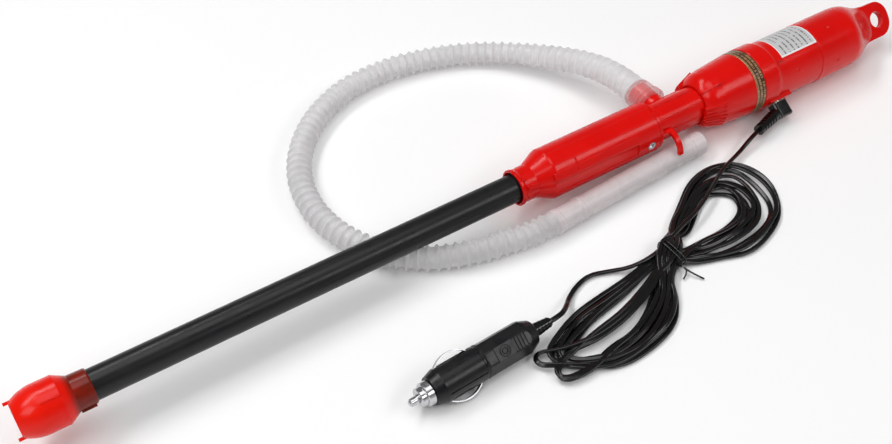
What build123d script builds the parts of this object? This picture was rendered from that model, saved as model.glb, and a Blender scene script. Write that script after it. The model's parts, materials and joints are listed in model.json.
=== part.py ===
from build123d import *
import math
import os

# A hand-held 12 V fluid transfer pump, lying on a floor (+Z up).
# The pump itself is built straight along X, with station 0 at the suction rim, and is then set
# down on the floor as it rests: on its head and on its own hose, which passes under the tube.
# Sizes are in millimetres. Angles round the pump count from -Y towards +Z.

os.makedirs("parts", exist_ok=True)

# ---------------------------------------------------------------- driving dimensions
PUMP_LENGTH = 650.0            # feet of the inlet cap to the end of the hanging tab
FOOT = 2.5                     # how far the feet stand out of the suction rim
MIDDLE = PUMP_LENGTH / 2 - FOOT

TUBE_R = 9.1
TUBE_BORE_R = 7.7
SHAFT_R = 2.0
RUNNING = 0.05                 # radial clearance of a shaft in its bush
CAP_R = 14.4                   # inlet cap
GRIP_R = 16.7                  # grip housing
NECK_R = 12.6                  # outlet neck
BAND_R = 22.3                  # sealing band
LIP_R = 22.6                   # raised lip of the barrel
BARREL_R = 21.1
TOP_R = 21.5                   # top cap

CAP_END = 41.5
TUBE_FROM, TUBE_TO = 30.0, 431.0
GRIP_FROM, GRIP_TO = 316.7, 422.3
PORT_AT = 440.0
HEAD_FROM = 463.0
BAND_FROM, BAND_TO = 500.5, 508.5
LIP_TO = 523.5
JACK_AT = 523.5
JACK_ANGLE = -30.0
SEAM = 562.0                   # barrel to top cap
TAPER_FROM, TAPER_TO = 596.0, 629.5
TAB_END = PUMP_LENGTH - FOOT
TAB_ANGLE = 44.0               # the way the flat tab faces
HOLE_AT = 636.0
HOLE_R = 5.8
STUB_R = 8.2                   # outlet stub, under the hose cuff
STUB_END = 29.0
CUFF_END = 31.0

HOSE_R = 8.4
LEAD_R = 1.7
UNDER_TUBE = 235.0             # station where the hose passes under the suction tube
TUBE_GAP = 0.35

# The axis falls from the hose crossing to the lip of the barrel, which touches the floor.
AXIS_OVER_HOSE = 2 * HOSE_R + TUBE_GAP + TUBE_R
TILT = math.degrees(math.asin((AXIS_OVER_HOSE - LIP_R) / (LIP_TO - UNDER_TUBE)))


def axis_height(station):
    """Height of the pump's axis over the floor at a station."""
    return LIP_R + (LIP_TO - station) * math.sin(math.radians(TILT))


LAID = Location((-MIDDLE, 0, axis_height(0)), (0, TILT, 0))


# ---------------------------------------------------------------- helpers
def write(piece, name, place=Location()):
    """Label a finished piece, put it in its place and write it."""
    placed = piece.part.moved(place)
    placed.label = name
    export_step(placed, f"parts/{name}.step")


def side(angle, station, radius):
    """The plane that faces outwards from the pump's side."""
    turn_by = math.radians(angle)
    outward = Vector(0, -math.cos(turn_by), math.sin(turn_by))
    return Plane(origin=Vector(station, 0, 0) + outward * radius, x_dir=(1, 0, 0), z_dir=outward)


def turn(outline, mode=Mode.ADD):
    """Revolve an outline of (station, radius) points about the X axis."""
    with BuildSketch(Plane.XY) as profile:
        with BuildLine():
            Polyline(*outline, close=True)
        make_face()
    revolve(profile.sketch, axis=Axis.X, mode=mode)


def sector(outline, first, last, mode=Mode.ADD):
    """Revolve an outline from one angle round the pump to another."""
    start = math.radians(first)
    outward = Vector(0, -math.cos(start), math.sin(start))
    along = Vector(1, 0, 0)
    with BuildSketch(Plane(origin=(0, 0, 0), x_dir=along, z_dir=along.cross(outward))) as profile:
        with BuildLine():
            Polyline(*outline, close=True)
        make_face()
    revolve(profile.sketch, axis=Axis((0, 0, 0), (-1, 0, 0)), revolution_arc=last - first, mode=mode)


def bar(angle, first, last, low, high, width, mode=Mode.ADD):
    """A straight bar along the pump's side, between two stations and two radii."""
    with BuildSketch(side(angle, (first + last) / 2, low)) as foot:
        Rectangle(last - first, width)
    extrude(foot.sketch, amount=high - low, mode=mode)


def drill(angle, station, radius, low, high, mode=Mode.SUBTRACT):
    """A round hole or peg that points outwards from the pump's axis."""
    with BuildSketch(side(angle, station, low)) as mouth:
        Circle(radius)
    extrude(mouth.sketch, amount=high - low, mode=mode)


def tube_along(points, radius, label):
    """Sweep a round section along straight runs joined by arcs as large as the runs allow."""
    points = [Vector(*p) for p in points]
    radii = []
    for before, corner, after in zip(points, points[1:], points[2:]):
        run_in, run_out = corner - before, after - corner
        half_turn = math.radians(run_in.get_angle(run_out)) / 2
        radii.append(0.45 * min(run_in.length, run_out.length) / math.tan(half_turn))
    print(label, "radii", [round(r, 1) for r in radii])
    with BuildPart() as tube:
        with BuildLine() as path:
            FilletPolyline(*points, radius=radii)
        with BuildSketch(Plane(origin=points[0], z_dir=points[1] - points[0])):
            Circle(radius)
        sweep()
    length = path.wire().length
    ratio = tube.part.volume / (math.pi * radius ** 2 * length)
    print(label, "length", round(length, 1), "volume ratio", round(ratio, 4))
    return tube


# ---------------------------------------------------------------- suction end
CHAMBER_R = 11.6
MOUTH_R = 9.0
BUSH_R = 3.0
with BuildPart() as inlet_cap:
    with BuildSketch(Plane.XY) as cap_wall:
        with BuildLine():
            ThreePointArc((0, 10.2), (5.3, 12.9), (15, CAP_R))
            Polyline(
                (15, CAP_R), (24.4, CAP_R), (25.2, 14.0), (31.3, 10.5), (40.6, 10.3), (CAP_END, 9.9),
                (CAP_END, TUBE_R), (TUBE_FROM, TUBE_R), (TUBE_FROM, TUBE_BORE_R), (26, TUBE_BORE_R),
                (23, CHAMBER_R), (6.5, CHAMBER_R), (4.5, MOUTH_R), (0, MOUTH_R), (0, 10.2),
            )
        make_face()
    revolve(axis=Axis.X)
    for foot_angle in (140, -40):
        bar(foot_angle, -FOOT, 4, 9.2, 11.0, 3.8)
    bar(62, 14, 24.5, 14.0, 14.75, 1.2)
    bar(-36, 31.6, 40, 9.6, 11.5, 2.6)
write(inlet_cap, "inlet_cap", LAID)

with BuildPart() as inlet_strainer:
    turn([(0.6, BUSH_R), (0.6, MOUTH_R), (2.0, MOUTH_R), (2.0, 4.4), (5.5, 4.2), (5.5, BUSH_R)])
    with BuildSketch(Plane.YZ.offset(0.6)) as holes:
        with PolarLocations(5.7, 9):
            Circle(0.85)
        with PolarLocations(7.6, 15):
            Circle(0.85)
    extrude(holes.sketch, amount=1.4, mode=Mode.SUBTRACT)
write(inlet_strainer, "inlet_strainer", LAID)

with BuildPart() as lower_bush:
    turn([(0.6, SHAFT_R + RUNNING), (0.6, BUSH_R), (5.5, BUSH_R), (5.5, SHAFT_R + RUNNING)])
write(lower_bush, "lower_bush", LAID)

BLADES = 5
HUB_R = 3.6
with BuildPart() as impeller:
    turn([(7.5, SHAFT_R), (7.5, 2.8), (9, HUB_R), (20, HUB_R), (20, SHAFT_R)])
    for blade in range(BLADES):
        with BuildSketch(side(blade * 360 / BLADES, 14, HUB_R - 0.7)) as root:
            Rectangle(12, 1.3, rotation=32)
        extrude(root.sketch, amount=7.3)
write(impeller, "impeller", LAID)

SHAFT_TO = 473.5
with BuildPart() as drive_shaft:
    turn([(1.2, 0), (1.2, 1.5), (1.7, SHAFT_R), (SHAFT_TO, SHAFT_R), (SHAFT_TO, 0)])
write(drive_shaft, "drive_shaft", LAID)

with BuildPart() as suction_tube:
    turn([(TUBE_FROM, TUBE_BORE_R), (TUBE_FROM, TUBE_R), (TUBE_TO, TUBE_R), (TUBE_TO, TUBE_BORE_R)])
write(suction_tube, "suction_tube", LAID)

GUIDE_STATIONS = (110, 200, 290, 380)
with BuildPart() as shaft_guides:
    for station in GUIDE_STATIONS:
        with BuildSketch(Plane.YZ.offset(station)) as spider:
            Circle(TUBE_BORE_R - 0.02)
            Circle(6.6, mode=Mode.SUBTRACT)
            Circle(3.5)
            with PolarLocations(5.05, 3):
                Rectangle(3.6, 1.4)
            Circle(SHAFT_R + RUNNING, mode=Mode.SUBTRACT)
        extrude(spider.sketch, amount=6)
write(shaft_guides, "shaft_guides", LAID)

# ---------------------------------------------------------------- grip housing
GRIP_WALL = 1.8
SCREW_AT = 414.4
BULKHEADS = (346, 378, 401)
NECK_FROM = 406.0


def grip_shell(angle):
    """The grip's turned wall with its bulkheads and the screw seat on the side at this angle."""
    turn([
        (GRIP_FROM, 10.5), (GRIP_FROM, 11.5), (317.1, 11.9), (318.6, 11.9), (320.2, 11.1), (328.6, 11.3),
        (339.2, 16.3), (340.6, GRIP_R), (421.5, GRIP_R), (GRIP_TO, 16.0), (GRIP_TO, NECK_R + 0.05),
        (GRIP_TO - 2, NECK_R + 0.05), (GRIP_TO - 2, GRIP_R - GRIP_WALL), (341.5, GRIP_R - GRIP_WALL),
        (330, 9.9), (319, 9.8),
    ])
    for station in BULKHEADS:
        turn([
            (station, TUBE_R + 0.05), (station, 15.5), (station + 2, 15.5), (station + 2, TUBE_R + 0.05),
        ])
    drill(angle, SCREW_AT, 4.2, NECK_R + 0.4, 15.4, mode=Mode.ADD)
    drill(angle, SCREW_AT, 3.0, 15.4, GRIP_R + 1)
    drill(angle, SCREW_AT, 1.35, NECK_R, GRIP_R)


with BuildPart() as grip_front:
    grip_shell(0)
    split(bisect_by=Plane.XZ, keep=Keep.TOP)
    bar(5.5, 338.5, 404, 15.7, GRIP_R + 1, 7.8, mode=Mode.SUBTRACT)
    bar(33, 337.5, 404, 15.9, 17.0, 4.2)
    bar(43, 355.6, 356.5, 15.9, 17.15, 7.6)
    bar(57, 340.6, 421.5, 16.0, 16.85, 0.6)
    bar(31, 320.6, 328.4, 10.6, 12.5, 2.4)
    bar(62, 318.9, 320.9, 10.6, 12.3, 1.6)
write(grip_front, "grip_front", LAID)

with BuildPart() as grip_back:
    grip_shell(180)
    split(bisect_by=Plane.XZ, keep=Keep.BOTTOM)
    bar(180, 338.5, 404, 15.7, GRIP_R + 1, 7.8, mode=Mode.SUBTRACT)
    bar(211, 320.6, 328.4, 10.6, 12.5, 2.4)
write(grip_back, "grip_back", LAID)

with BuildPart() as grip_screws:
    for angle in (0, 180):
        drill(angle, SCREW_AT, 1.3, 9.9, 15.5, mode=Mode.ADD)
        drill(angle, SCREW_AT, 2.85, 15.4, 16.8, mode=Mode.ADD)
        with BuildSketch(side(angle, SCREW_AT, 15.8)) as socket:
            RegularPolygon(1.55, 6)
        extrude(socket.sketch, amount=2, mode=Mode.SUBTRACT)
        drill(angle, SCREW_AT, 1.9, 16.5, 17.5)
write(grip_screws, "grip_screws", LAID)

# ---------------------------------------------------------------- outlet neck
SEAL_R = 6.0
with BuildPart() as outlet_neck:
    turn([
        (NECK_FROM, TUBE_R + 0.02), (NECK_FROM, NECK_R), (407.6, NECK_R), (407.6, 14.6), (409.8, 14.6),
        (409.8, NECK_R), (466, NECK_R), (466, 15.2), (469, 15.2), (469, NECK_R), (474, NECK_R),
        (474, 9.5), (463, 9.5), (463, SEAL_R), (459, SEAL_R), (459, 2.6), (456, 2.6), (456, 8.2),
        (TUBE_TO, 8.2), (TUBE_TO, TUBE_R + 0.02), (426.5, TUBE_R + 0.02), (426.5, 10.8),
        (424.3, 10.8), (424.3, TUBE_R + 0.02),
    ])
    for rib in range(8):
        bar(7 + 45 * rib, 424.9, 462.5, NECK_R - 0.6, NECK_R + 0.35, 0.9)
    drill(180, PORT_AT, STUB_R, 10.0, STUB_END, mode=Mode.ADD)
    drill(180, PORT_AT, 6.2, 4.0, STUB_END)
    for angle in (0, 180):
        drill(angle, SCREW_AT, 1.3, 9.9, NECK_R + 0.5)
write(outlet_neck, "outlet_neck", LAID)

with BuildPart() as tube_seal:
    turn([(424.3, TUBE_R), (424.3, 10.8), (426.5, 10.8), (426.5, TUBE_R)])
write(tube_seal, "tube_seal", LAID)

with BuildPart() as shaft_seal:
    turn([(459, SHAFT_R + RUNNING), (459, SEAL_R), (463, SEAL_R), (463, SHAFT_R + RUNNING)])
write(shaft_seal, "shaft_seal", LAID)

# The hook's arm is a quarter ring about a point beside and below the neck.
HOOK_CENTRE = (-14.5, -9.0)
HOOK_R = 12.0
HOOK_THICK = 2.3
HOOK_FROM, HOOK_TO = 429.6, 433.0


def hook_arc(first, last, start, end):
    """Part of the hook's arm: a band of arc from one angle to another, between two stations."""
    with BuildSketch(Plane.YZ.offset(start)) as band:
        with BuildLine():
            outer = CenterArc(HOOK_CENTRE, HOOK_R + HOOK_THICK / 2, first, last - first)
            inner = CenterArc(HOOK_CENTRE, HOOK_R - HOOK_THICK / 2, first, last - first)
            Line(outer @ 0, inner @ 0)
            Line(outer @ 1, inner @ 1)
        make_face()
    extrude(band.sketch, amount=end - start)


with BuildPart() as hose_hook:
    turn([
        (GRIP_TO, NECK_R + 0.03), (GRIP_TO, 16.2), (424.3, 16.2), (424.8, 15.7), (424.8, NECK_R + 0.03),
    ])
    hook_arc(68, 96, GRIP_TO, HOOK_TO)
    hook_arc(90, 174, HOOK_FROM, HOOK_TO)
    with BuildSketch(Plane.YZ.offset(GRIP_TO)) as ring_bore:
        Circle(NECK_R + 0.03)
    extrude(ring_bore.sketch, amount=12, mode=Mode.SUBTRACT)
    with BuildSketch(Plane.YZ.offset(424.8)) as arm_bore:
        Circle(NECK_R + 0.5)
    extrude(arm_bore.sketch, amount=12, mode=Mode.SUBTRACT)
write(hose_hook, "hose_hook", LAID)

# ---------------------------------------------------------------- drive
MOTOR_SHAFT_R = 1.25
with BuildPart() as shaft_coupling:
    turn([
        (466, SHAFT_R), (466, 4.0), (466.5, 4.4), (480.5, 4.4), (481, 4.0), (481, MOTOR_SHAFT_R),
        (SHAFT_TO, MOTOR_SHAFT_R), (SHAFT_TO, SHAFT_R),
    ])
write(shaft_coupling, "shaft_coupling", LAID)

PLATE_FROM, MOTOR_FROM, MOTOR_TO = 482.5, 485.0, 515.0
MOTOR_R = 13.8
with BuildPart() as motor_mount:
    turn([(PLATE_FROM, 5), (PLATE_FROM, 18.5), (MOTOR_FROM, 18.5), (MOTOR_FROM, 5)])
    for angle in (0, 180):
        with BuildSketch(Plane.YZ.offset(PLATE_FROM)) as hole:
            with Locations((8 if angle else -8, 0)):
                Circle(1.3)
        extrude(hole.sketch, amount=MOTOR_FROM - PLATE_FROM, mode=Mode.SUBTRACT)
write(motor_mount, "motor_mount", LAID)

with BuildPart() as motor_screws:
    for beside in (-8, 8):
        with BuildSketch(Plane.YZ.offset(PLATE_FROM - 1.4)) as head:
            with Locations((beside, 0)):
                Circle(2.2)
        extrude(head.sketch, amount=1.4)
        with BuildSketch(Plane.YZ.offset(PLATE_FROM)) as shank:
            with Locations((beside, 0)):
                Circle(1.3)
        extrude(shank.sketch, amount=4.5)
write(motor_screws, "motor_screws", LAID)

with BuildPart() as motor_can:
    turn([
        (MOTOR_FROM, 3), (MOTOR_FROM, 13.2), (485.6, MOTOR_R), (MOTOR_TO, MOTOR_R), (MOTOR_TO, 12.9),
        (486.2, 12.9), (486.2, 3),
    ])
    with BuildSketch(Plane.YZ.offset(MOTOR_FROM)) as holes:
        with Locations((-8, 0), (8, 0)):
            Circle(1.3)
    extrude(holes.sketch, amount=1.3, mode=Mode.SUBTRACT)
write(motor_can, "motor_can", LAID)

with BuildPart() as motor_end_cap:
    turn([
        (513.5, 3), (513.5, 12.85), (MOTOR_TO, 12.85), (MOTOR_TO, MOTOR_R), (517, 13.3), (517, 3),
    ])
write(motor_end_cap, "motor_end_cap", LAID)

with BuildPart() as motor_bushes:
    for start, end in ((MOTOR_FROM, 487.2), (513.5, 517)):
        turn([
            (start, MOTOR_SHAFT_R + RUNNING), (start, 3), (end, 3), (end, MOTOR_SHAFT_R + RUNNING),
        ])
write(motor_bushes, "motor_bushes", LAID)

with BuildPart() as motor_magnets:
    for first in (20, 200):
        sector([(488.5, 10.6), (488.5, 12.85), (509.5, 12.85), (509.5, 10.6)], first, first + 140)
write(motor_magnets, "motor_magnets", LAID)

with BuildPart() as motor_rotor:
    turn([
        (SHAFT_TO + 0.05, 0), (SHAFT_TO + 0.05, MOTOR_SHAFT_R), (487.8, MOTOR_SHAFT_R), (487.8, 2.6),
        (489.5, 2.6), (489.5, 10.0), (507.5, 10.0), (507.5, 3.4), (512.6, 3.4), (512.6, MOTOR_SHAFT_R),
        (518.5, MOTOR_SHAFT_R), (518.5, 0),
    ])
    for slot in range(3):
        bar(30 + 120 * slot, 489.5, 507.5, 6.0, 11.0, 2.4, mode=Mode.SUBTRACT)
write(motor_rotor, "motor_rotor", LAID)

with BuildPart() as motor_brushes:
    for angle in (0, 180):
        bar(angle, 508.6, 511.8, 3.7, 12.8, 2.6)
write(motor_brushes, "motor_brushes", LAID)

# ---------------------------------------------------------------- head
SPIGOT_R = 20.2
with BuildPart() as head_shell:
    with BuildSketch(Plane.XY) as head_wall:
        with BuildLine():
            ThreePointArc((HEAD_FROM, 14.3), (466.4, 17.2), (471.5, 19.2))
            Polyline(
                (471.5, 19.2), (477, 20.1), (499.6, 22.15), (BAND_FROM, 22.0), (BAND_FROM, SPIGOT_R),
                (514, SPIGOT_R), (514, 18.6), (PLATE_FROM, 18.6), (PLATE_FROM, 16.2), (471.5, 16.0),
                (469.5, 15.6), (465.8, 15.6), (465.8, NECK_R + 0.4), (HEAD_FROM, NECK_R + 0.4),
                (HEAD_FROM, 14.3),
            )
        make_face()
    revolve(axis=Axis.X)
    for middle in (0, 180):
        sector([(461.3, 13.2), (461.3, 15.3), (474.6, 19.9), (474.6, 18.5), (466.3, 16.2), (464, 13.2)],
               middle - 29, middle + 29)
        for rib in range(7):
            at = middle - 26 + rib * 52 / 6
            sector([(461.0, 13.2), (461.0, 16.2), (475.2, 21.0), (475.2, 18.5), (466.3, 16.2), (464, 13.2)],
                   at - 2.0, at + 2.0)
    sector([(HEAD_FROM, 13.2), (HEAD_FROM, 16.2), (474.5, 21.2), (480, 20.6), (474, 18.5), (466.3, 16.2),
            (464, 13.2)], 64.5, 67.5)
write(head_shell, "head_shell", LAID)

with BuildPart() as sealing_band:
    turn([
        (BAND_FROM, SPIGOT_R), (BAND_FROM, BAND_R - 0.2), (BAND_FROM + 0.3, BAND_R),
        (BAND_TO - 0.3, BAND_R), (BAND_TO, BAND_R - 0.2), (BAND_TO, SPIGOT_R),
    ])
write(sealing_band, "sealing_band", LAID)

BARREL_BORE_R = 19.2
with BuildPart() as barrel:
    turn([
        (BAND_TO, SPIGOT_R), (BAND_TO, 22.3), (509.1, LIP_R), (521, LIP_R), (522.2, 22.2),
        (LIP_TO, 21.3), (525, BARREL_R), (SEAM, BARREL_R), (SEAM, BARREL_BORE_R),
        (514.5, BARREL_BORE_R), (514.5, SPIGOT_R),
    ])
    bar(JACK_ANGLE, 514.5, 533, 17.5, 22.75, 14)
    drill(JACK_ANGLE, JACK_AT, 4.3, 14, 24)
    bar(57, 511, 529, 20.6, LIP_R + 0.12, 0.6)
    with Locations(Location(side(28, 539.2, 22.3).location)):
        Sphere(1.9, mode=Mode.SUBTRACT)
write(barrel, "barrel", LAID)

with BuildPart() as dc_socket:
    drill(JACK_ANGLE, JACK_AT, 4.3, 15, 22.75, mode=Mode.ADD)
    drill(JACK_ANGLE, JACK_AT, 2.85, 16, 23)
    drill(JACK_ANGLE, JACK_AT, 1.0, 15.5, 21.8, mode=Mode.ADD)
write(dc_socket, "dc_socket", LAID)

WIRE_R = 0.8
with BuildPart() as motor_leads:
    for beside in (-2.2, 2.2):
        face = side(JACK_ANGLE, JACK_AT, 0)
        across = face.y_dir * beside
        jack_end = Vector(JACK_AT, 0, 0) + face.z_dir * 15 + across
        corner = Vector(JACK_AT, 0, 0) + face.z_dir * 8.5 + across
        motor_end = Vector(517, 0, 0) + face.z_dir * 8.5 + across
        with BuildLine() as wire:
            FilletPolyline(jack_end, corner, motor_end, radius=3.0)
        with BuildSketch(Plane(origin=jack_end, z_dir=wire.line % 0)) as section:
            Circle(WIRE_R)
        sweep(section.sketch, path=wire.line)
write(motor_leads, "motor_leads", LAID)

TAB_THICK = 4.6
TAB_WIDTH = 25.4
TAPER = (
    (TAPER_FROM, TOP_R, TOP_R), (603, 21.0, 18.6), (610, 18.9, 13.6), (617, 15.6, 8.8), (623.5, 13.6, 4.8),
    (TAPER_TO, 12.8, 2.2),
)
tab_up = side(TAB_ANGLE, 0, 0)
with BuildPart() as top_cap:
    turn([
        (554, 17.6), (554, BARREL_BORE_R - 0.03), (SEAM, BARREL_BORE_R - 0.03), (SEAM, TOP_R - 0.3),
        (SEAM + 0.4, TOP_R), (TAPER_FROM, TOP_R), (TAPER_FROM, 0), (593, 0), (590, 17.6),
    ])
    for station, half_width, half_thick in TAPER:
        ring_plane = Plane(origin=(station, 0, 0), x_dir=tab_up.y_dir, z_dir=(1, 0, 0))
        with BuildSketch(ring_plane):
            Ellipse(half_width, half_thick)
    loft()
    with BuildSketch(tab_up.offset(-TAB_THICK / 2)) as tab:
        with Locations(((618 + TAB_END) / 2, 0)):
            Rectangle(TAB_END - 618, TAB_WIDTH)
        ends = tab.vertices().group_by(Axis.X)[-1]
        fillet(ends, radius=11.2)
        with Locations((HOLE_AT, 0)):
            Circle(HOLE_R, mode=Mode.SUBTRACT)
    extrude(tab.sketch, amount=TAB_THICK)
    for angle in (10, 77):
        with Locations(Location(side(angle, 576.5, 22.7).location)):
            Sphere(1.9, mode=Mode.SUBTRACT)
write(top_cap, "top_cap", LAID)

with BuildPart() as data_label:
    sector([
        (529.5, BARREL_R), (529.5, BARREL_R + 0.2), (SEAM - 0.4, BARREL_R + 0.2), (SEAM - 0.4, BARREL_R),
    ], 60, 160)
write(data_label, "data_label", LAID)

# ---------------------------------------------------------------- hose
PORT = (LAID * Location((PORT_AT, 0, 0))).position


def on_floor(points):
    """Points given as (station, y, height), in the model's own frame."""
    return [(station - MIDDLE, y, height) for station, y, height in points]


with BuildPart() as hose_cuff:
    outline = [
        (15.2, STUB_R), (15.2, 10.6), (16.0, 11.6), (17.0, 11.6), (17.6, 10.7), (18.4, 10.7),
        (19.0, 11.4), (20.0, 11.4), (20.6, 10.6), (29.6, 10.2), (CUFF_END, 9.4), (CUFF_END, 0),
        (STUB_END, 0), (STUB_END, STUB_R),
    ]
    with BuildSketch(Plane(origin=(PORT_AT, 0, 0), x_dir=(0, 1, 0), z_dir=(0, 0, -1))) as cuff_wall:
        with BuildLine():
            Polyline(*outline, close=True)
        make_face()
    revolve(cuff_wall.sketch, axis=Axis((PORT_AT, 0, 0), (0, 1, 0)))
write(hose_cuff, "hose_cuff", LAID)

# The hose leaves the cuff, comes down to the floor behind the pump, turns back under the suction
# tube and lies along the near side.
NOZZLE_FROM, NOZZLE_TO = on_floor([(330, -25.4, HOSE_R), (456, -19.2, HOSE_R)])
NOZZLE_LENGTH = math.dist(NOZZLE_FROM, NOZZLE_TO)
NOZZLE_TURN = math.degrees(math.atan2(NOZZLE_TO[1] - NOZZLE_FROM[1], NOZZLE_TO[0] - NOZZLE_FROM[0]))
NOZZLE = Location(NOZZLE_FROM, (0, 0, NOZZLE_TURN))
HOSE_ROUTE = [(PORT.X, CUFF_END, PORT.Z), (PORT.X, 49, PORT.Z)] + on_floor([
    (433, 76, 20.5), (414, 109, 13.5), (386, 138.5, 8.4), (350, 153.5, 8.4), (311, 159.5, 8.4),
    (271, 152.5, 8.4), (236.5, 128.5, 8.4), (214.5, 95, 8.4), (209, 57, 8.4), (219.5, 22, 8.4),
    (243, -5, 8.4), (273, -18.5, 8.4), (298, -23, 8.4),
]) + [tuple((NOZZLE * Location((-16, 0, 0))).position), NOZZLE_FROM]
hose = tube_along(HOSE_ROUTE, HOSE_R, "hose")
write(hose, "hose")

NOZZLE_R = 7.6
NOZZLE_BORE_R = 6.2
with BuildPart() as hose_nozzle:
    turn([
        (0, 0), (0, 8.2), (4, 8.2), (5, NOZZLE_R), (19, NOZZLE_R), (20, 8.3), (21.6, 8.3),
        (22.6, NOZZLE_R), (113, NOZZLE_R), (114, 8.1), (115.4, 8.1), (116.4, NOZZLE_R),
        (117, 8.0), (NOZZLE_LENGTH - 0.8, 8.0), (NOZZLE_LENGTH, 7.4), (NOZZLE_LENGTH, NOZZLE_BORE_R),
        (3, NOZZLE_BORE_R), (3, 0),
    ])
write(hose_nozzle, "hose_nozzle", NOZZLE)

# ---------------------------------------------------------------- power plug in the side of the head
PLUG_LOW, PLUG_HIGH = 23.6, 34.5
PIN_R = 2.7
LEAD_START = (497.0, -32.0, 8.0)
sleeve_from = Vector(519.5, -25.8, LEAD_START[2] - axis_height(519.5))
sleeve_to = Vector(LEAD_START[0], LEAD_START[1], LEAD_START[2] - axis_height(LEAD_START[0]))
sleeve_along = (sleeve_to - sleeve_from).normalized()
SLEEVE_LENGTH = (sleeve_to - sleeve_from).length
with BuildPart() as dc_plug_body:
    with BuildSketch(side(JACK_ANGLE, JACK_AT, PLUG_LOW)) as block:
        Rectangle(13, 8.4)
        fillet(block.vertices(), radius=3.0)
    extrude(block.sketch, amount=PLUG_HIGH - PLUG_LOW)
    chamfer(dc_plug_body.faces().sort_by(Axis.Y)[0].edges(), length=1.0)
    with BuildSketch(Plane(origin=sleeve_from, x_dir=sleeve_along, z_dir=(0, 0, 1))) as sleeve:
        with BuildLine():
            Polyline(
                (0, 0), (0, 3.9), (5, 3.9), (SLEEVE_LENGTH - 3, 3.1), (SLEEVE_LENGTH - 3, 3.9),
                (SLEEVE_LENGTH, 3.7), (SLEEVE_LENGTH, 0), close=True,
            )
        make_face()
        for rib in range(5):
            with Locations((6.4 + 3.0 * rib, 0)):
                Rectangle(1.5, 4.3 - 0.13 * rib, align=(Align.CENTER, Align.MIN))
    revolve(sleeve.sketch, axis=Axis(sleeve_from, sleeve_along))
    drill(JACK_ANGLE, JACK_AT, PIN_R, 15, 31)
write(dc_plug_body, "dc_plug_body", LAID)

with BuildPart() as dc_plug_contact:
    drill(JACK_ANGLE, JACK_AT, PIN_R, 16.5, 31, mode=Mode.ADD)
    drill(JACK_ANGLE, JACK_AT, 1.15, 16.5, 28)
write(dc_plug_contact, "dc_plug_contact", LAID)

# ---------------------------------------------------------------- lead, wound into a hank
straight_out = (LAID * Location(sleeve_to + sleeve_along * 9.5)).position
lead_start = (LAID * Location(sleeve_to)).position
LEAD_A_ROUTE = [lead_start, straight_out] + on_floor([(477.5, -36.8, 3.4), (467, -40, 1.9)])
lead_a = tube_along(LEAD_A_ROUTE, LEAD_R, "cable_lead_a")
write(lead_a, "cable_lead_a")

WAIST_FROM, WAIST_TO = 372.5 - MIDDLE, 381.5 - MIDDLE
WAIST_LEFT, WAIST_RIGHT = -73.5, -92.5
WAIST_HEIGHT = 7.6
WAIST_Z = 5.0
HANK_THICK = 7.0
HANK_OUTLINE = [(x - MIDDLE, y) for x, y in (
    (377, -73), (391, -66), (408, -55), (428, -42.8), (449, -38), (465, -45.5), (469, -64), (461, -86),
    (446, -97), (421, -103), (398, -101), (385, -96), (377, -94), (370, -98), (358, -106), (341, -119.5),
    (320, -131), (297, -132.5), (281, -125), (272.5, -114), (267.5, -103.5), (280, -93.5), (300, -85),
    (322, -83.5), (347, -82), (363, -75.5),
)]
with BuildPart() as cable_hank:
    with BuildSketch() as hank_outline:
        with BuildLine():
            Spline(*HANK_OUTLINE, periodic=True)
        make_face()
        with Locations(((WAIST_FROM + WAIST_TO) / 2, (WAIST_LEFT + WAIST_RIGHT) / 2)):
            Rectangle(WAIST_TO - WAIST_FROM, 40, mode=Mode.SUBTRACT)
    extrude(hank_outline.sketch, amount=HANK_THICK)
    with BuildSketch(Plane.YZ.offset(WAIST_FROM)) as waist:
        with Locations(((WAIST_LEFT + WAIST_RIGHT) / 2, WAIST_Z)):
            Rectangle(WAIST_LEFT - WAIST_RIGHT, WAIST_HEIGHT)
    extrude(waist.sketch, amount=WAIST_TO - WAIST_FROM)
write(cable_hank, "cable_hank")

TIE_THICK = 1.2
with BuildPart() as cable_tie:
    with BuildSketch(Plane.YZ.offset(WAIST_FROM + 1)) as tie:
        with Locations(((WAIST_LEFT + WAIST_RIGHT) / 2, WAIST_Z)):
            RectangleRounded(WAIST_LEFT - WAIST_RIGHT + 2 * TIE_THICK, WAIST_HEIGHT + 2 * TIE_THICK, 1.0)
            Rectangle(WAIST_LEFT - WAIST_RIGHT, WAIST_HEIGHT, mode=Mode.SUBTRACT)
    extrude(tie.sketch, amount=WAIST_TO - WAIST_FROM - 2)
write(cable_tie, "cable_tie")

# ---------------------------------------------------------------- lighter plug
# Built along X from its tip, and laid on the floor on its side.
LIGHTER_R = 10.5
LIGHTER_LENGTH = 98.0
LIGHTER_TURN = 2.35
LIGHTER = Location((183.0 - MIDDLE, -91.9, LIGHTER_R), (0, 0, LIGHTER_TURN))
CONTACT_ANGLES = (-38, 142)
FACE_ANGLE = 52
FUSE_BORE_R = 3.6
FUSE_R = 3.15
FUSE_FROM, FUSE_TO = 9.0, 39.0
SPRING_TO = 52.0
BODY_FROM, BODY_TO = 14.2, 85.0


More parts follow.
